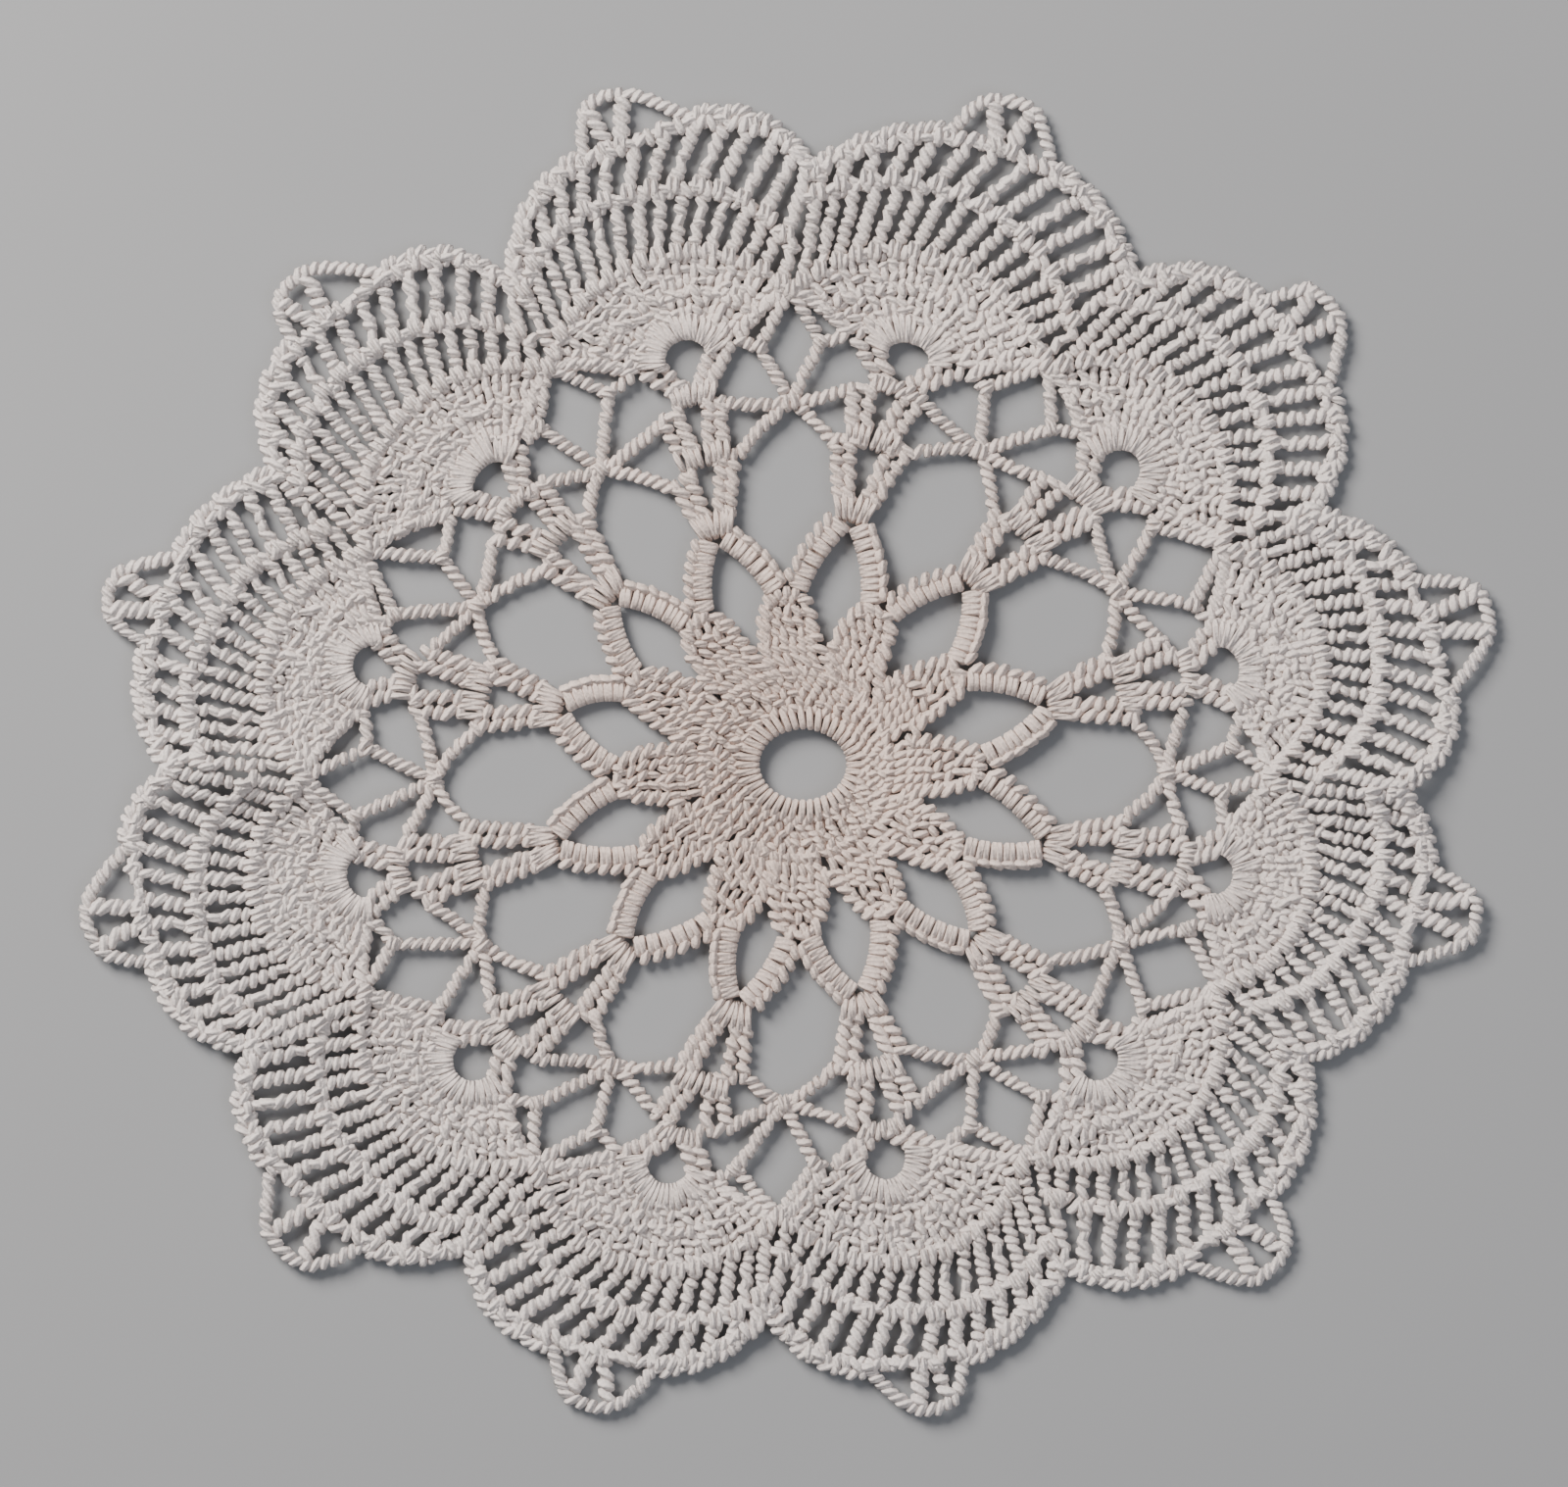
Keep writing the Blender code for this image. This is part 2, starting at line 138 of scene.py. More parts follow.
# The knots of the net after each sector, from the tip of the petal to the notch of the edge.
NET = np.array((
    # petal, reach, low, reach, right, reach, left, reach, high, reach, notch, reach
    (-0.5, 31.7, -1.6, 61.6, -8.1, 72.5, 3.7, 72.7, -2.9, 81.2, -3.9, 97.9),
    (1.3, 29.4, -0.5, 61.4, -7.3, 71.4, 3.2, 71.4, -2.4, 79.9, -4.8, 100.6),
    (3.1, 29.0, 0.8, 61.3, -3.4, 71.6, 4.9, 71.0, 0.6, 80.5, -1.5, 101.5),
    (4.6, 29.6, 3.5, 59.8, -3.2, 70.3, 7.3, 71.9, 2.0, 79.3, 0.6, 94.4),
    (3.6, 31.0, 3.6, 60.2, -0.3, 69.4, 9.5, 72.5, 3.8, 81.4, 0.5, 101.3),
    (4.1, 30.3, 2.5, 61.2, -2.2, 72.6, 6.8, 75.2, 1.5, 83.4, 0.3, 106.0),
    (3.3, 30.2, -0.4, 61.2, -6.0, 74.6, 4.5, 73.4, -2.3, 82.6, -2.5, 103.9),
    (4.8, 29.4, -1.2, 59.6, -7.5, 72.4, 1.2, 70.6, -3.3, 81.0, -4.2, 98.4),
    (1.0, 28.9, -2.0, 57.4, -8.6, 69.2, 2.8, 67.6, -2.2, 76.4, -2.9, 93.0),
    (2.3, 29.3, 1.2, 58.4, -4.2, 67.9, 6.4, 70.0, 0.6, 77.0, -1.8, 96.6),
    (0.6, 31.1, 1.1, 62.7, -4.9, 71.6, 7.2, 71.8, 2.0, 81.0, 0.0, 99.2),
    (-0.6, 31.2, -1.3, 62.8, -3.7, 72.2, 2.4, 74.0, -1.3, 80.3, -2.3, 102.5),
))

# The tops of the four rows of each fan at its middle, the tip of its edging, and how full its
# curve is towards the sector before and the next.
FANS = np.array((
    # first, second, third, fourth, tip_turn, tip_reach, full_before, full_next
    (84.0, 90.5, 101.0, 110.0, -2.6, 120.3, 4.6, 2.6),
    (84.0, 90.5, 100.2, 110.7, -4.3, 119.6, 3.6, 2.9),
    (82.5, 88.7, 100.0, 110.1, -3.8, 118.4, 2.6, 2.1),
    (81.5, 88.6, 100.2, 109.4, 1.2, 117.9, 3.8, 3.8),
    (81.2, 88.5, 100.0, 109.6, 1.7, 118.5, 5.0, 3.2),
    (83.2, 90.8, 101.5, 110.5, 0.6, 120.3, 3.0, 3.8),
    (85.5, 93.8, 104.5, 113.5, -2.2, 123.2, 4.0, 4.4),
    (83.2, 90.4, 100.5, 110.6, -2.0, 120.0, 3.8, 3.8),
    (82.2, 88.8, 97.0, 105.5, -3.7, 114.3, 3.8, 3.2),
    (79.5, 85.7, 95.0, 103.7, -2.8, 111.8, 3.6, 2.2),
    (82.0, 89.0, 98.8, 107.3, -1.9, 117.7, 3.8, 3.2),
    (82.5, 89.1, 99.3, 107.6, 1.9, 118.5, 3.8, 3.6),
))

# How far out each eyelet reaches.
EYELETS = (77.0, 77.8, 74.0, 74.4, 73.0, 77.0, 78.5, 77.7, 74.4, 72.0, 75.0, 76.5)

# Where each row of a fan ends: rows 1 and 2 as a share of the way from the eyelet to the knot
# above the net, rows 3 and 4 as a share of the way from that knot to the notch of the edge.
ROW_ENDS = (
    # before, next
    (0.45, 0.45),
    (0.95, 0.95),
    (0.30, 0.70),
    (1.00, 1.00),
)
EDGE_DROP = 1.4  # how far inside the notches the fourth row ends
LEAST_FULL = 2.2
ROW_FULL = (0.0, 0.0, 0.35, 1.0)  # how much of each fan's fullness a row's curve has
ROW_LEAN = (0.0, 0.0, 0.55, 0.85)
ROW_POSTS = (
    # tall stitches, pitch of the lobes, width, radius, share that slant the other way, looseness
    (20, 1.5, 2.0, 0.68, 0.45, 26.0),
    (28, 1.5, 2.0, 0.68, 0.45, 26.0),
    (16, 1.6, 2.2, 0.72, 0.10, 12.0),
    (14, 1.7, 2.4, 0.76, 0.10, 12.0),
)
ROW_HEADS = (
    # heads along the row, mm from its top to their inner and outer ends
    (20, -0.6, 0.8),
    (30, -0.8, 0.9),
    (30, -1.1, 1.2),
    (34, -1.6, 0.8),
)

# The strands over a fan's eyelet: how far they go round it, in degrees, and their length.
EYELET_TURN = 94
EYELET_HALF = 3.7
EYELET_STRAND = 4.2

# The pointed loop of the edging: the share of the way from its middle to its foot on either side,
# and its height from row 4 (0) to tip (1).
TIP = np.array((
    # share, height
    (-1.00, 0.02),
    (-0.84, 0.42),
    (-0.62, 0.78),
    (-0.34, 0.93),
    (0.00, 0.96),
    (0.28, 0.92),
    (0.46, 0.74),
    (0.72, 0.38),
    (1.00, 0.02),
))

# Where the two feet of each fan's loop stand, in degrees from its tip.
TIP_FEET = (
    # before, next
    (-4.1, 6.4),
    (-3.9, 5.6),
    (-5.0, 4.6),
    (-3.1, 7.2),
    (-3.2, 6.7),
    (-3.9, 4.4),
    (-4.3, 6.0),
    (-5.0, 5.7),
    (-5.4, 4.2),
    (-3.5, 5.5),
    (-4.8, 5.2),
    (-3.8, 5.2),
)
ARCHES = 4  # chain arches on each side of the loop

# Where the cloth is puckered between two fans: the gap, how high it rises and how wide, in mm.
PUCKERS = (
    # gap, height, width
    (0, 1.2, 5.0),
    (2, 0.9, 4.0),
    (4, 1.2, 5.0),
    (5, 3.6, 5.5),
    (6, 1.4, 5.0),
    (8, 0.8, 5.0),
    (10, 1.0, 5.0),
    (11, 3.4, 5.5),
)

# The low waves of the cloth, in mm: its least height off the floor and the size of a wave.
LEAST_LIFT = 0.20
WAVE = 0.15

# The middle of the finished doily, which is the frame's origin.
MIDDLE = -1.342 + 2.100j

# One seeded source for every small unevenness.
chance = np.random.default_rng(12)


def polar(turn, reach):
    """The point at this bearing in degrees and this distance: reach times e to the i turn."""
    return reach * np.exp(1j * np.radians(turn))


def table_points(axis, row):
    """The points of a row of turns and reaches measured from this axis."""
    return polar(axis + row[0::2], row[1::2])


def sideways(bearing, side, out=0.0):
    """A step counter-clockwise and outwards from this bearing: (out + i side) turned by it."""
    return (out + 1j * side) * np.exp(1j * np.radians(bearing))


def between(a, b, share):
    """The point this share of the way from a to b."""
    return a + (b - a) * share


class Sector:
    """The named points of a sector and of the net after it."""

    def __init__(self, k):
        self.axis = FIRST_AXIS + STEP * k
        self.line = self.axis + STEP / 2
        self.slit, self.apex, self.second, self.third = table_points(self.axis, SPINES[k])
        corners = table_points(self.axis, CORNERS[k])
        self.next, self.before = corners[0::2], corners[1::2]
        knots = table_points(self.line, NET[k])
        self.petal, self.low, self.right, self.left, self.high, self.notch = knots
        self.eyelet = between(self.next[2], self.before[2], 0.5)


sectors = [Sector(k) for k in range(SECTORS)]


def turn_reach(k, point):
    """The turn from sector k's axis, between -180 and 180, and the reach of a point."""
    turn = np.degrees(np.angle(point)) - sectors[k].axis
    return (turn + 180) % 360 - 180, abs(point)


def row_curve(k, row, across):
    """The top of a fan's row at across, from -1 at the sector before to 1 at the next: the line
    between its ends, raised in the middle by 1 minus the size of across to a power."""
    here, before = sectors[k], sectors[k - 1]
    ends = []
    for knots, corner, share in ((before, here.before[2], ROW_ENDS[row - 1][0]),
                                 (here, here.next[2], ROW_ENDS[row - 1][1])):
        low, high = (corner, knots.high) if row <= 2 else (knots.high, knots.notch)
        ends.append(turn_reach(k, between(low, high, share)))
    (low_turn, low_reach), (high_turn, high_reach) = ends
    if row == 4:
        low_reach, high_reach = low_reach - EDGE_DROP, high_reach - EDGE_DROP
    share = (across + 1) / 2
    turn = low_turn + (high_turn - low_turn) * share
    line = low_reach + (high_reach - low_reach) * share
    rise = FANS[k][row - 1] - (low_reach + high_reach) / 2
    fullest = np.where(across > 0, FANS[k][7], FANS[k][6])
    full = LEAST_FULL + (fullest - LEAST_FULL) * ROW_FULL[row - 1]
    return turn, line + rise * (1 - np.abs(across) ** full)


def row_point(k, row, across):
    """The same place as a point."""
    turn, reach = row_curve(k, row, across)
    return polar(sectors[k].axis + turn, reach)


def across_of(k, turn):
    """The place across a fan's fourth row at this turn."""
    low, high = (row_curve(k, 4, end)[0] for end in (-1.0, 1.0))
    return 2 * (turn - low) / (high - low) - 1


def bowed(start, end, bow):
    """A curve between two points that bows to its left by a parabola."""
    share = np.linspace(0, 1, 9)
    across = 1j * (end - start) / abs(end - start)
    return between(start, end, share) + across * bow * 4 * share * (1 - share)


def spaced(path, pitch):
    """Points at even lengths along a path, as near to this pitch as fits."""
    lengths = np.concatenate(([0.0], np.cumsum(np.abs(np.diff(path)))))
    count = max(int(round(lengths[-1] / pitch)), 1)
    marks = np.linspace(0, lengths[-1], count + 1)
    return np.interp(marks, lengths, path.real) + 1j * np.interp(marks, lengths, path.imag)


def placed(starts, ends, along, across, up, facing, level):
    """Lines of M stitches by N points, in mm from the middle between start and end: along is the
    way from start to end, across is to its left, and up is from the level. facing holds the
    along, across and up parts of the line's own side."""
    unit = (ends - starts) / np.abs(ends - starts)
    flat = between(starts, ends, 0.5)[:, None] + unit[:, None] * (along + 1j * across)
    height = np.broadcast_to(up + np.reshape(level, (-1, 1)), flat.shape)
    ahead, side, rise = (np.broadcast_to(part, flat.shape) for part in facing)
    turned = unit[:, None] * (ahead + 1j * side)
    return np.stack([flat.real, flat.imag, height], -1), np.stack([turned.real, turned.imag, rise], -1)


def lobes(starts, ends, width=2.5, slant=LOBE_SLANT, level=1.15, radius=0.70, tilt=18.0, crown=0.55,
          loose=8.0, length=None):
    """Plump lobes that lie slantwise over each other, as the turns of a rope do. A lobe's middle
    line goes evenly from -1 to 1: a sine bends it in an S, and 1 minus the square crowns it. It
    is tipped about its length by the tilt and turned from the path by the slant."""
    s, girth = LOBE.T
    noise = chance.normal(0, 1, (5, len(starts), 1))
    slant = np.radians(np.reshape(slant, (-1, 1)) + loose * noise[0])
    tilt = np.radians(tilt + 8 * noise[1])
    if length is None:
        length = (width - 1.1 * radius) / np.maximum(np.abs(np.sin(slant)), 0.48)
    run = s * length / 2 * (1 + 0.07 * noise[2])
    bend = 0.32 * np.sin(np.pi * s)
    along = run * np.cos(slant) - bend * np.sin(slant)
    across = run * np.sin(slant) + bend * np.cos(slant) + 0.06 * noise[3]
    up = crown * (0.6 - s * s) + 0.008 * loose * noise[4]
    facing = (-np.sin(slant) * np.cos(tilt), np.cos(slant) * np.cos(tilt), np.sin(tilt))
    size = radius * girth
    girth = np.stack([size * BROAD, size], -1)
    return (*placed(starts, ends, along, across, up, facing, level), girth, False)


def arches(starts, ends, height=1.1, level=1.1, radius=0.54, loose=0.14):
    """Strands that go over a cord, from start to end: they rise by 1 minus a fourth power."""
    s, girth = LOBE.T
    noise = chance.normal(0, 1, (2, len(starts), 1))
    along = s * np.abs(ends - starts)[:, None] / 2
    side = loose * noise[0] * np.cos(s * np.pi / 2)
    up = height * (0.5 - s ** 4) + 0.08 * noise[1]
    size = radius * (0.3 + 0.7 * girth)
    girth = np.stack([size, size], -1)
    return (*placed(starts, ends, along, side, up, (0.0, 1.0, 0.0), level), girth, False)


def wraps(starts, ends, height=1.1, level=1.1, radius=0.56, square=0.8, loose=0.12, points=8):
    """Strands that go over a cord and back under it: flat rings standing on edge, from start to
    end. Along is a cosine and up is a sine, each to a power that squares the ring off."""
    t = 2 * np.pi * (np.arange(points) + 0.5) / points
    along = np.abs(ends - starts)[:, None] / 2 * np.sign(np.cos(t)) * np.abs(np.cos(t)) ** square
    up = height / 2 * np.sign(np.sin(t)) * np.abs(np.sin(t)) ** square
    noise = chance.normal(0, 1, (2, len(starts), 1))
    side = loose * noise[0] * np.sin(t + 0.6)
    return (*placed(starts, ends, along, side, up + 0.08 * noise[1], (0.0, 1.0, 0.0), level),
            np.full((points, 2), radius), True)


def cores(starts, ends, width):
    """The strands inside tall stitches, as one flat oval rod each, its girth that of a lobe."""
    s, girth = LOBE.T
    along = s * np.abs(ends - starts)[:, None] / 2
    size = np.stack([girth * width * 0.3, girth * 0.45], -1)
    return (*placed(starts, ends, along, 0.0, 0.0, (0.0, 1.0, 0.0), 0.85), size, False)


def chain(path, pitch=CHAIN_PITCH, width=2.1, slant=CHAIN_SLANT, radius=0.66, **shape):
    """A chain of lobes along a path."""
    points = spaced(path, pitch)
    return lobes(points[:-1], points[1:], width, slant, radius=radius, **shape)


def heads(path, pitch=HEAD_PITCH, **shape):
    """The heads along the top of a row: a chain whose lobes lean one way and the other by chance."""
    points = spaced(path, pitch)
    slants = chance.choice(HEAD_SLANTS, len(points) - 1)
    return lobes(points[:-1], points[1:], slant=slants, **shape)


def posts(starts, ends, width, pitch=POST_PITCH, zigzag=0.0, slant=LOBE_SLANT, uneven=0.3, **shape):
    """Tall stitches: stacks of lobes round their cores. zigzag is the share of the lobes that
    slant the other way, and uneven is how far the pitch and the start vary between stitches."""
    pitches = pitch * (1 + uneven * chance.uniform(-0.4, 0.4, len(starts)))
    counts = np.maximum(np.round(np.abs(ends - starts) / pitches).astype(int), 1)
    which = np.repeat(np.arange(len(starts)), counts)
    order = np.arange(len(which)) - np.repeat(np.cumsum(counts) - counts, counts)
    order = order + uneven * chance.uniform(-1, 1, len(starts))[which]
    lows, highs = (between(starts[which], ends[which], (order + i) / counts[which]) for i in (0, 1))
    sign = np.where(chance.random(len(which)) < zigzag, -1.0, 1.0)
    return [
        lobes(lows, highs, width, slant * sign, **shape),
        cores(starts, ends, width),
    ]


def strands(places, outward, low, high, spread=0.5, fanned=1.2, slant=0.0, **shape):
    """Two strands over each place, along its outward direction, from low inside to high outside."""
    outward = outward * np.exp(1j * np.radians(slant))
    ends = []
    for side in (-1, 1):
        step = 1j * outward * side * spread
        ends.append((places - outward * low + step, places + outward * high + step * fanned))
    starts, ends = (np.concatenate(part) for part in zip(*ends))
    return arches(starts, ends, **shape)


def centre():
    """The ring of strands round the hole, and the rounds of short stitches outside it."""
    def place(turns, share):
        """The points at these turns, this share of the way from the ring to the petals."""
        edge = RING_CENTRE + RING_RADII[0] * np.cos(turns) + 1j * RING_RADII[1] * np.sin(turns)
        return between(edge, PLATE_REACH * np.exp(1j * turns), share)

    ring = 2 * np.pi * np.arange(RING_STITCHES) / RING_STITCHES
    made = [
        wraps(place(ring, 0.05), place(ring, 0.40), points=10, radius=0.60, level=1.25, loose=0.06),
        cores(place(ring, 0.28), place(ring, 1.0), 3.2),
    ]
    for number, (share, stitches) in enumerate(ROUNDS):
        turns = 2 * np.pi * (np.arange(stitches) + 0.5 * (number % 2)) / stitches
        turns = turns + chance.normal(0, 0.4 / stitches, stitches)
        slants = np.where(chance.random(stitches) < 0.35, -32.0, 24.0)
        made.append(lobes(place(turns, share), place(turns, share + ROUND_STEP), slant=slants, length=1.9,
                          radius=0.60, crown=0.7, loose=18.0, level=1.2))
    return made


def petal(k):
    """A petal: columns of tall stitches drawn together towards its tip, between two edge chains."""
    here, after = sectors[k], sectors[(k + 1) % SECTORS]
    bearing = np.degrees(np.angle(here.petal))
    low = turn_reach(k, here.slit)[0] + here.axis - bearing
    high = turn_reach(k, after.slit)[0] + here.axis - bearing
    made = []
    feet = polar(bearing + np.linspace(low, high, 11)[1::2], PLATE_REACH - 0.6)
    for reach, half, count, length, slant in PETAL_ROWS:
        reach = reach or abs(here.petal) + PETAL_TOP
        shares = np.linspace(-1, 1, count)
        if count != len(feet):
            marks = np.linspace(-1, 1, len(feet))
            feet = np.interp(shares, marks, feet.real) + 1j * np.interp(shares, marks, feet.imag)
        rim = polar(bearing, reach - 0.4 * np.abs(shares)) + sideways(bearing, (half - 0.5) * shares)
        made += posts(feet, rim, 2.4, length * 0.70, zigzag=0.3, slant=slant, uneven=0.1, radius=0.60,
                      length=length, crown=0.6, loose=9.0, level=1.15)
        feet = rim
    for side, slit in ((-1, here.slit), (1, after.slit)):
        corner = polar(bearing, 21.5) + sideways(bearing, side * 4.3)
        upper = polar(bearing, 26.0) + sideways(bearing, side * 4.0)
        top = here.petal + sideways(bearing, side * 2.6, -0.4)
        edge = np.array([slit - sideways(bearing, 0.0, 1.5), corner, upper, top])
        made.append(chain(edge, 2.1, width=2.3, radius=0.68, level=1.3))
    crown = here.petal + sideways(bearing, np.array([-2.2, 0.0, 2.2]), np.array([-0.3, 0.2, -0.3]))
    made.append(heads(crown, 1.7, width=2.4, level=1.35))
    return made


def arms(k):
    """The two arms that lean on each other over a petal's leaf, each a cord covered in short
    stitches whose heads run along its outer side."""
    here, before = sectors[k], sectors[k - 1]
    made = []
    for knot, side in ((before, -1), (here, 1)):
        bearing = np.degrees(np.angle(knot.petal))
        start = knot.petal + sideways(bearing, -side * 1.6, 0.6)
        end = here.apex + sideways(here.axis, side * 1.5, -1.2)
        path = spaced(bowed(start, end, side * ARM_BOW), 0.1)
        count = 2 * ARM_STITCHES
        index = (np.arange(count) + 0.5 + 0.09 * (-1.0) ** np.arange(count)) / count * (len(path) - 1)
        marks = np.arange(len(path))
        middle = np.interp(index, marks, path.real) + 1j * np.interp(index, marks, path.imag)
        way = np.gradient(middle)
        outer = side * 1j * way / np.abs(way)
        half = ARM_WIDTH / 2 - 0.6
        made.append(wraps(middle - outer * half, middle + outer * (half - 0.7), height=1.3, level=1.15,
                          radius=0.63, square=0.9, loose=0.10))
        ridge = middle + outer * (half - 0.15)
        made.append(chain(ridge, abs(end - start) / ARM_STITCHES, slant=side * 30.0, length=2.3, level=1.45,
                          radius=0.70, crown=0.8, tilt=0.0))
    return made


def shells(k):
    """The column of three shells, each two tall stitches, a gap and two more. A stitch starts as
    two bare strands and goes on as a stack of lobes."""
    here = sectors[k]
    made = []
    fork = here.eyelet * (EYELETS[k] - 6.8) / abs(here.eyelet)
    first_fork = between(here.apex, here.second, 0.36)
    second_fork = between(here.second, here.third, 0.34)
    levels = (
        # foot, places of the feet, fork, places there, next foot, places of the tops, strand spread
        (here.apex, (0.65, 1.7), first_fork, (1.6, 3.6), here.second, (0.50, 0.13), 0.45),
        (here.second, (1.15, 3.2), second_fork, (1.5, 4.0), here.third, (0.52, 0.12), 0.55),
        (here.third, (0.85, 2.5), fork, (1.4, 3.7), here.eyelet, (0.48, 0.12), 0.50),
    )
    for level, (foot, feet, fork, forks, top, insets, spread) in enumerate(levels):
        starts, turns, ends = [], [], []
        for side, corner in ((-1, here.before[level]), (1, here.next[level])):
            for base, part, inset in zip(feet, forks, insets):
                starts.append(foot + sideways(here.axis, side * base, -0.9))
                turns.append(fork + sideways(here.axis, side * part))
                ends.append(between(corner, top, inset))
        starts, turns, ends = np.array(starts), np.array(turns), np.array(ends)
        made += posts(between(starts, turns, 0.6), ends, 2.5, radius=0.74)
        way = turns - starts
        made.append(strands(starts, way / np.abs(way), 0.2, 0.85 * np.abs(way).mean(), spread, 1.25,
                            level=1.3, radius=0.58))
        if level < 2:
            for corner in (here.before[level], here.next[level]):
                rim = np.array([between(corner, top, share) for share in (-0.02, 0.35, 0.72)])
                made.append(heads(rim, level=1.1, width=2.6))
    return made


def net(k):
    """The chains between two columns of shells and the knots where they meet."""
    here, after = sectors[k], sectors[(k + 1) % SECTORS]
    made = []
    for corners, near, side in ((here.next, here.right, 1), (after.before, here.left, -1)):
        for start, end, bow in (
            (here.low, corners[0], side * 0.6),
            (here.low, corners[1], side * -0.4),
            (here.low, near, 0.0),
            (near, corners[2], side * -0.3),
            (near, here.high, 0.0),
        ):
            made.append(chain(bowed(start, end, bow)))
        made.append(chain(bowed(corners[2], here.high, side * -1.0), width=2.6, radius=0.70))
    knots = (
        # knot, half length of its strands, turn
        (here.low, 1.3, 8),
        (here.right, 1.0, 40),
        (here.left, 1.0, -40),
        (here.high, 1.5, -8),
    )
    for knot, size, turn in knots:
        outward = np.full(1, sideways(here.line + turn, 0.0, 1.0))
        made.append(strands(np.array([knot]), outward, size, size, 0.55, 0.8, level=1.4, height=1.3,
                            radius=0.6))
    return made


def lean(row, across):
    """Where the top of a stitch lies: shifted towards the sector before, by a cubic that is nought
    at both ends of the row."""
    return across - ROW_LEAN[row - 1] * (1 + across) * ((1 - across) / 2) ** 3


def fan(k):
    """The four rows of a fan and the heads along the top of each. The first two are dense, and the
    first starts from strands over the eyelet, on a half oval."""
    here = sectors[k]
    made = []
    for row, (count, pitch, width, radius, zigzag, loose) in enumerate(ROW_POSTS, 1):
        across = (np.arange(count) + 0.5) * 2 / count - 1
        across = across + chance.normal(0, 0.07 / count, count)
        tops = row_point(k, row, lean(row, across))
        if row == 1:
            spread = np.linspace(-1, 1, count)
            angle = np.radians(EYELET_TURN) * spread
            top = EYELETS[k] - abs(here.eyelet)
            rise = (top + 0.4) * np.cos(angle) - 0.4
            rim = here.eyelet + sideways(here.axis, EYELET_HALF * np.sin(angle), rise)
            way = row_point(k, 1, spread) - rim
            long = EYELET_STRAND + chance.normal(0, 0.6, count)
            made.append(wraps(rim, rim + way / np.abs(way) * long, height=1.2, level=1.3))
            feet = between(rim, tops, 0.36)
        else:
            feet = row_point(k, row - 1, across)
        made += posts(feet, tops, width, pitch, zigzag, radius=radius, loose=loose)
        if row > 2:
            outward = (tops - feet) / np.abs(tops - feet)
            made.append(strands(feet, outward, 0.9, 1.9, 0.55, 1.1, slant=12, level=1.55, height=1.2,
                                radius=0.60))
        count, inner, outer = ROW_HEADS[row - 1]
        edge = row_point(k, row, (np.arange(count) + 0.5) * 2 / count - 1)
        out = edge / np.abs(edge)
        slants = chance.choice(ROW_HEAD_SLANTS, count)
        shift = out * chance.normal(0, 0.35, count)
        made.append(lobes(edge + out * inner + shift, edge + out * outer + shift, slant=slants,
                          length=outer - inner + 0.4, radius=0.70, crown=0.6, loose=20.0, level=1.4))
        if row > 2:
            top = row_point(k, row, np.linspace(-0.99, 0.99, 81)) * (1 - 0.6 / 100)
            made.append(heads(top, 2.0, level=0.95, width=2.4, radius=0.70))
    return made


def edging(k):
    """The chain arches along the top of a fan and its pointed loop."""
    tip_turn, tip_reach = FANS[k][4:6]
    axis = sectors[k].axis
    start, end = (across_of(k, tip_turn - turn) for turn in reversed(TIP_FEET[k]))
    made = []
    for first, last in ((-1.0, start), (end, 1.0)):
        for i in range(ARCHES):
            share = np.linspace(0, 1, 9)
            turn, reach = row_curve(k, 4, first + (last - first) * (i + share) / ARCHES)
            made.append(chain(polar(axis + turn, reach + 0.5 + 0.9 * np.sin(np.pi * share) ** 0.6)))
            joint = polar(axis + turn[:1], reach[:1])
            made.append(strands(joint, joint / np.abs(joint), 1.1, 0.8, level=1.35))

    def above(turn, height):
        """The point at this turn from the tip and this share of the way from row 4 to the tip."""
        base = row_curve(k, 4, across_of(k, tip_turn + turn))[1]
        return polar(axis + tip_turn + turn, base + (tip_reach - base) * height)

    before, after = TIP_FEET[k]
    turns = -np.where(TIP[:, 0] < 0, TIP[:, 0] * -before, TIP[:, 0] * after)
    made.append(chain(np.array([above(turn, height) for turn, height in zip(turns, TIP[:, 1])])))
    feet = np.array([above(0.75, 0.0), above(-0.45, 0.0)])
    tops = np.array([above(-0.44 * before, 0.86), above(-0.24 * after, 0.86)])
    made += posts(feet, tops, 2.9, radius=0.80)
    made.append(strands(feet, (tops - feet) / np.abs(tops - feet), 1.2, 1.5, 0.5, level=1.4))
    return made


def lift(x, y):
    """How high the cloth stands off the floor: low waves, and a ridge at each pucker that falls
    off as a bell curve across the line from the net's knot to the notch of the edge."""
    height = LEAST_LIFT + WAVE * (2 + np.sin(x / 17 + 0.7) + np.sin(y / 21 + x / 40))
    place = x + 1j * y
    for gap, rise, width in PUCKERS:
        here = sectors[gap]
        way = here.notch - here.high
        local = (place - between(here.high, here.notch, 0.55)) / (way / abs(way))
        height = height + rise * np.exp(-(local.imag / width) ** 2 - (local.real / (abs(way) * 0.62)) ** 2)
    return height


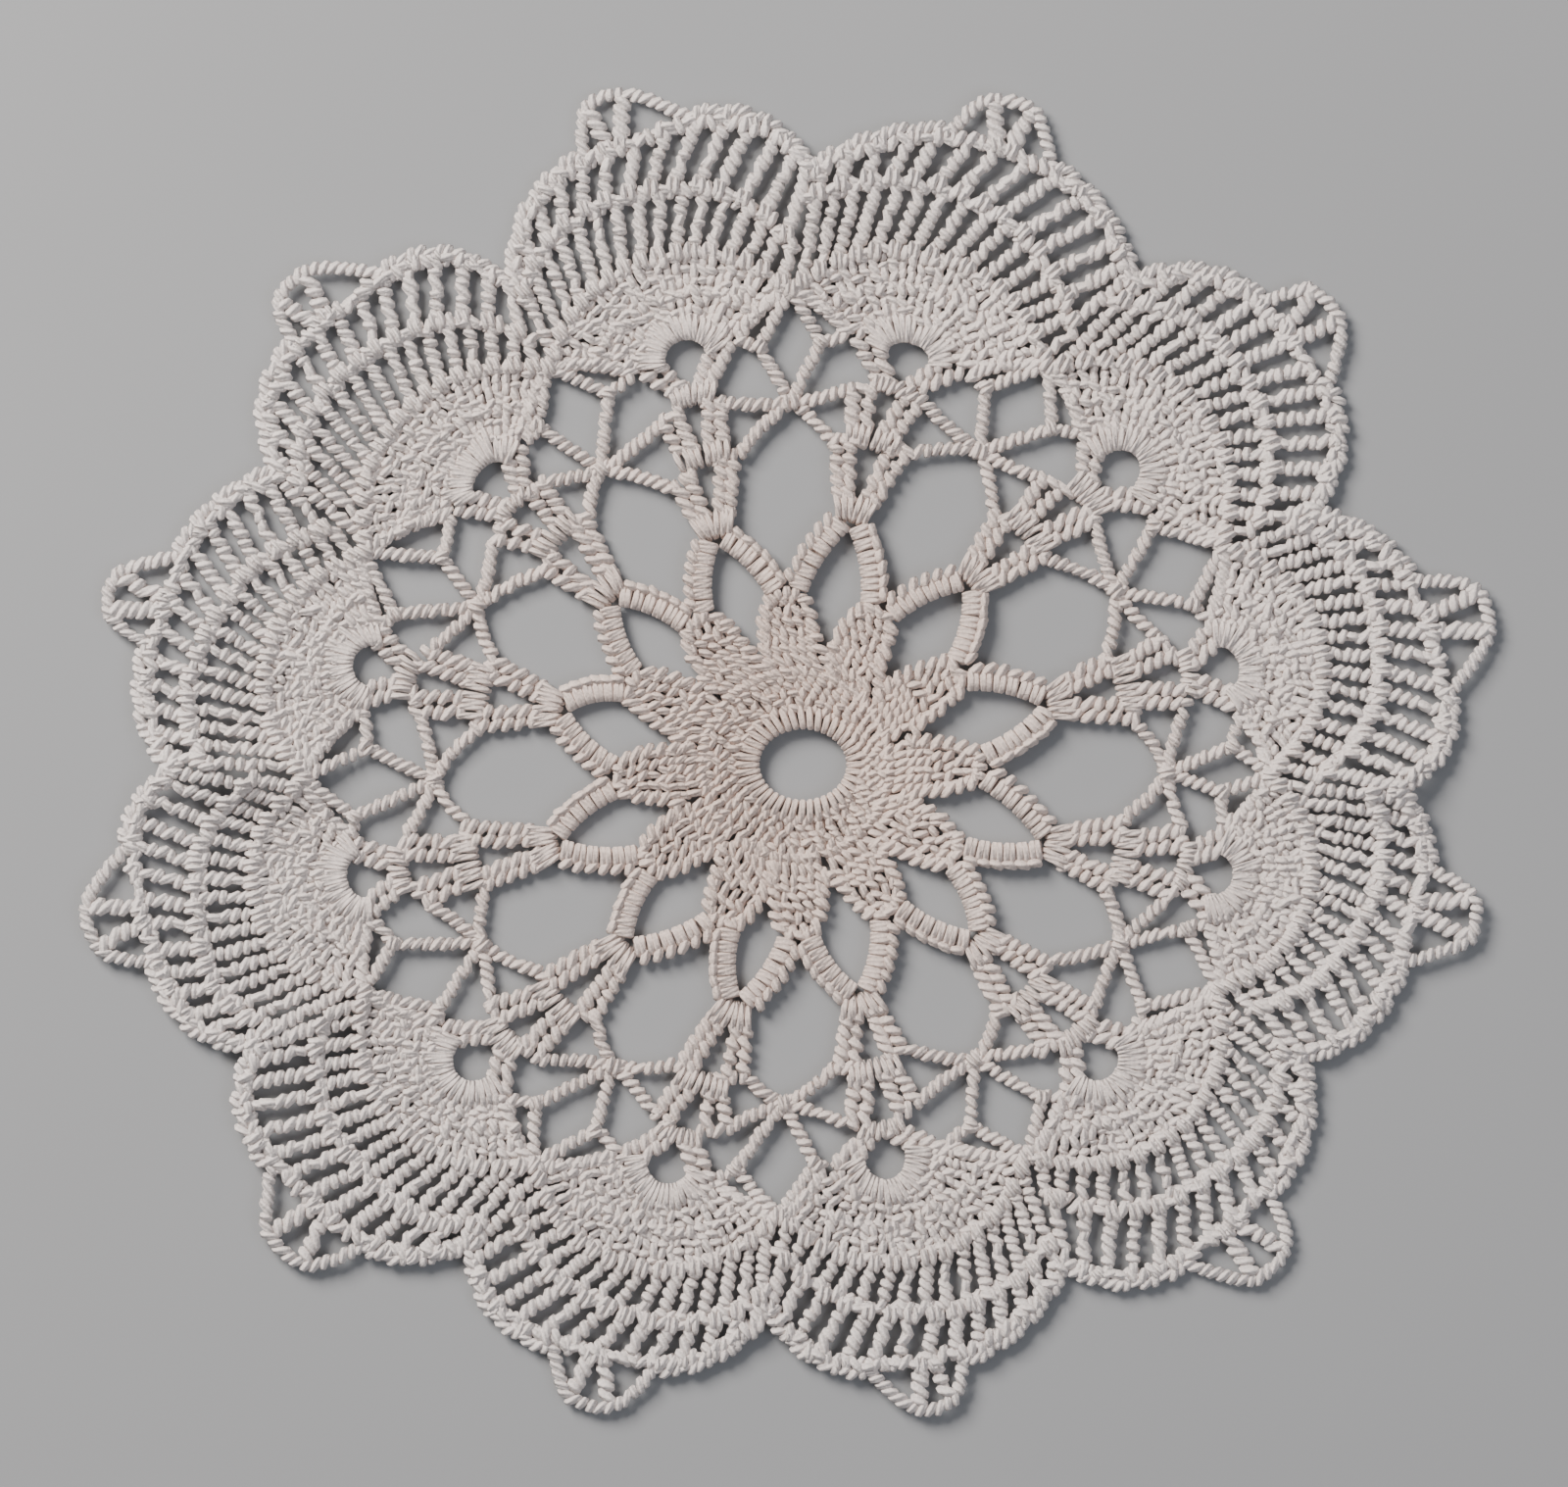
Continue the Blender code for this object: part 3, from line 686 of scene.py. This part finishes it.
def yarn(name, groups, material):
    """A mesh of tubes round the groups' lines, each closed on itself or at its two ends. Each ring
    of a tube is the line's point plus its half width times the cosine along its own side and its
    half thickness times the sine along the direction square to that."""
    points, quads, ends, places = [], [], [], []
    offset = 0
    angle = 2 * np.pi * np.arange(SIDES) / SIDES
    for lines, facing, girth, closed in groups:
        lines = lines.copy()
        lines[..., 2] += lift(lines[..., 0], lines[..., 1])
        lines[..., 0] -= MIDDLE.real
        lines[..., 1] -= MIDDLE.imag
        count, long = lines.shape[:2]
        if closed:
            ahead = np.roll(lines, -1, 1) - np.roll(lines, 1, 1)
        else:
            ahead = np.gradient(lines, axis=1)
        ahead /= np.linalg.norm(ahead, axis=-1, keepdims=True)
        side = facing - (facing * ahead).sum(-1, keepdims=True) * ahead
        side /= np.linalg.norm(side, axis=-1, keepdims=True)
        up = np.cross(ahead, side)
        wide, thick = girth[:, 0, None, None], girth[:, 1, None, None]
        ring = (lines[:, :, None] + wide * np.cos(angle)[:, None] * side[:, :, None]
                + thick * np.sin(angle)[:, None] * up[:, :, None])
        points.append(ring.reshape(-1, 3))
        bands = long if closed else long - 1
        m, i, j = (axis.ravel() for axis in np.indices((count, bands, SIDES)))
        steps = ((0, 0), (0, 1), (1, 1), (1, 0))
        corners = [offset + (m * long + (i + a) % long) * SIDES + (j + b) % SIDES for a, b in steps]
        quads.append(np.stack(corners, -1))
        length = np.linalg.norm(np.diff(lines, axis=1), axis=-1).sum(1)
        turns = np.maximum(np.round(length / PLY_PITCH), 1)
        places.append(np.stack([
            np.stack([(i + a) / bands * turns[m] + 7.0 * m, (j + b) / SIDES], -1) for a, b in steps
        ], 1))
        if not closed:
            first = offset + np.arange(count)[:, None] * long * SIDES
            around = np.arange(SIDES)
            ends += [first + around[::-1], first + (long - 1) * SIDES + around]
        offset += count * long * SIDES
    points, quads, places = (np.concatenate(part) for part in (points, quads, places))
    ends = np.concatenate(ends)
    corners = np.concatenate([quads.ravel(), ends.ravel()])
    first_corners = np.concatenate([np.arange(len(quads)) * 4, quads.size + np.arange(len(ends)) * SIDES])
    places = np.concatenate([places.reshape(-1, 2), np.zeros((ends.size, 2))])
    mesh = bpy.data.meshes.new(name)
    mesh.vertices.add(len(points))
    mesh.vertices.foreach_set("co", (points * MILLIMETRE).ravel())
    mesh.loops.add(len(corners))
    mesh.loops.foreach_set("vertex_index", corners)
    mesh.polygons.add(len(first_corners))
    mesh.polygons.foreach_set("loop_start", first_corners)
    mesh.polygons.foreach_set("use_smooth", np.ones(len(first_corners), bool))
    layer = mesh.uv_layers.new(name="yarn")
    layer.uv.foreach_set("vector", places.ravel())
    mesh.update(calc_edges=True)
    mesh.validate()
    mesh.materials.append(material)
    piece = bpy.data.objects.new(name, mesh)
    bpy.context.scene.collection.objects.link(piece)
    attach(piece, "root")
    return piece


def linear(hex_colour):
    """An sRGB hex colour as linear red, green, blue and alpha."""
    parts = [int(hex_colour[i:i + 2], 16) / 255 for i in (1, 3, 5)]
    return (*(c / 12.92 if c <= 0.04045 else ((c + 0.055) / 1.055) ** 2.4 for c in parts), 1.0)


def node(tree, kind, settings=None, **inputs):
    """Adds a node with its settings. An input goes by its name, or by i and its number, and is a
    value or another node's output socket."""
    made = tree.nodes.new(kind)
    for name, value in (settings or {}).items():
        setattr(made, name, value)
    for name, value in inputs.items():
        numbered = name[0] == "i" and name[1:].isdigit()
        socket = made.inputs[int(name[1:]) if numbered else name]
        if isinstance(value, bpy.types.NodeSocket):
            tree.links.new(value, socket)
        else:
            socket.default_value = value
    return made


def crochet_cotton():
    """Mercerised crochet cotton gone soft with washing: three plies, matte with a faint sheen. The
    grooves between the plies are bumped, and darkened in the colour as painted shade; loose fibres
    show as bump and random tone, and the tone is warmer towards the middle. The tufts of fibre are
    drawn about 0.5 mm apart, coarser than real ones, so that they show."""
    tufts, patches = 1900.0, 45.0  # in a metre
    plies = 3.0
    material = bpy.data.materials.new("crochet cotton")
    material.use_nodes = True
    tree = material.node_tree
    shader = tree.nodes["Principled BSDF"]
    place = node(tree, "ShaderNodeTexCoord").outputs["Object"]
    along = node(tree, "ShaderNodeUVMap", {"uv_map": "yarn"}).outputs["UV"]
    parts = node(tree, "ShaderNodeSeparateXYZ", Vector=along)
    turned = node(tree, "ShaderNodeMath", {"operation": "MULTIPLY_ADD"}, i0=parts.outputs["Y"], i1=plies,
                  i2=parts.outputs["X"])
    wave = node(tree, "ShaderNodeMath", {"operation": "MULTIPLY"}, i0=turned.outputs[0], i1=2 * math.pi)
    ply = node(tree, "ShaderNodeMath", {"operation": "SINE"}, i0=wave.outputs[0])
    fibres = node(tree, "ShaderNodeTexNoise", Vector=place, Scale=tufts, Detail=3.0, Roughness=0.65)
    tone = node(tree, "ShaderNodeTexNoise", Vector=place, Scale=patches, Detail=2.0)
    inner = node(tree, "ShaderNodeMix", {"data_type": "RGBA"}, i0=tone.outputs["Fac"],
                 i6=linear("#d9c2b6"), i7=linear("#e6d3c9"))
    outer = node(tree, "ShaderNodeMix", {"data_type": "RGBA"}, i0=tone.outputs["Fac"],
                 i6=linear("#e0d6d2"), i7=linear("#efe7e4"))
    distance = node(tree, "ShaderNodeVectorMath", {"operation": "LENGTH"}, i0=place)
    rim = node(tree, "ShaderNodeMapRange", {"clamp": True}, i0=distance.outputs["Value"], i1=0.02, i2=0.10)
    whole = node(tree, "ShaderNodeMix", {"data_type": "RGBA"}, i0=rim.outputs[0], i6=inner.outputs[2],
                 i7=outer.outputs[2])
    # Painted shade: the colour darkens to 0.90 in the grooves between the plies, where shade falls.
    groove = node(tree, "ShaderNodeMapRange", {"clamp": True}, i0=ply.outputs[0], i1=-1.0, i2=-0.1,
                  i3=0.90, i4=1.0)
    fuzz = node(tree, "ShaderNodeMapRange", {"clamp": True}, i0=fibres.outputs["Fac"], i1=0.35, i2=0.65,
                i3=0.84, i4=1.08)
    # The painted ply-groove shade times the random tone of the fibres.
    ply_shade_and_fuzz = node(tree, "ShaderNodeMath", {"operation": "MULTIPLY"}, i0=groove.outputs[0], i1=fuzz.outputs[0])
    shade = node(tree, "ShaderNodeMix", {"data_type": "RGBA", "blend_type": "MULTIPLY"}, i0=1.0,
                 i6=whole.outputs[2], i7=ply_shade_and_fuzz.outputs[0])
    tree.links.new(shade.outputs[2], shader.inputs["Base Color"])
    relief = node(tree, "ShaderNodeMath", {"operation": "MULTIPLY_ADD"}, i0=ply.outputs[0], i1=0.6,
                  i2=fibres.outputs["Fac"])
    bump = node(tree, "ShaderNodeBump", Height=relief.outputs[0], Distance=0.0003, Strength=0.9)
    tree.links.new(bump.outputs["Normal"], shader.inputs["Normal"])
    shader.inputs["Roughness"].default_value = 0.82
    shader.inputs["IOR"].default_value = 1.5
    shader.inputs["Sheen Weight"].default_value = 0.15
    shader.inputs["Sheen Roughness"].default_value = 0.5
    return material


def painted_floor():
    """A pale matte painted board, whose coat gives faint clouds of tone about 170 mm wide."""
    clouds = 6.0  # in a metre
    material = bpy.data.materials.new("painted board")
    material.use_nodes = True
    tree = material.node_tree
    shader = tree.nodes["Principled BSDF"]
    place = node(tree, "ShaderNodeTexCoord").outputs["Object"]
    grain = node(tree, "ShaderNodeTexNoise", Vector=place, Scale=clouds, Detail=2.0)
    tone = node(tree, "ShaderNodeMix", {"data_type": "RGBA"}, i0=grain.outputs["Fac"],
                i6=linear("#8f9194"), i7=linear("#96989b"))
    tree.links.new(tone.outputs[2], shader.inputs["Base Color"])
    shader.inputs["Roughness"].default_value = 0.9
    return material


def floor():
    """A large square under the doily."""
    half = 3.0
    mesh = bpy.data.meshes.new("floor")
    corners = [(-half, -half, 0), (half, -half, 0), (half, half, 0), (-half, half, 0)]
    mesh.from_pydata(corners, [], [(0, 1, 2, 3)])
    mesh.materials.append(painted_floor())
    board = bpy.data.objects.new("floor", mesh)
    bpy.context.scene.collection.objects.link(board)
    return board


def soft_light(name, place, size, power, colour):
    """A square softbox that faces the doily."""
    light = bpy.data.lights.new(name, "AREA")
    light.size = size
    light.energy = power
    light.color = linear(colour)[:3]
    lamp = bpy.data.objects.new(name, light)
    lamp.location = place
    x, y, z = place
    lamp.rotation_euler = (0.0, math.acos(z / math.hypot(x, y, z)), math.atan2(y, x))
    bpy.context.scene.collection.objects.link(lamp)


def camera():
    """Straight above, with a long lens, framed as the photo is."""
    photo_width, photo_height, scale = 1600, 1517, 0.166
    middle_px = (812, 780)
    height, sensor = 1.2, 36.0
    view = bpy.data.cameras.new("camera")
    view.sensor_width = sensor
    view.lens = sensor * height / (photo_width * scale * MILLIMETRE)
    eye = bpy.data.objects.new("camera", view)
    eye.location = (((photo_width / 2 - middle_px[0]) * scale - MIDDLE.real) * MILLIMETRE,
                    ((middle_px[1] - photo_height / 2) * scale - MIDDLE.imag) * MILLIMETRE, height)
    bpy.context.scene.collection.objects.link(eye)
    bpy.context.scene.camera = eye


def gather(*makers):
    """The groups of yarn that these functions make in every sector."""
    return [group for maker in makers for k in range(SECTORS) for group in maker(k)]


camera()
cotton = crochet_cotton()
middle = yarn("centre_and_arms", centre() + gather(petal, arms), cotton)
ground = yarn("open_lace", gather(shells, net, edging), cotton)
for first in range(0, SECTORS, 3):
    groups = [group for k in range(first, first + 3) for group in fan(k)]
    yarn(f"fans_{first // 3 + 1}", groups, cotton)
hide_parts("doily")

board = floor()
soft_light("key", (-0.68, 0.72, 0.78), 0.60, 34.0, "#fff8f1")
soft_light("fill", (0.8, -0.4, 1.0), 0.9, 5.0, "#f2f5ff")
world = bpy.data.worlds.new("studio")
world.use_nodes = True
world.node_tree.nodes["Background"].inputs["Color"].default_value = linear("#f2f3f5")
world.node_tree.nodes["Background"].inputs["Strength"].default_value = 0.27
bpy.context.scene.world = world
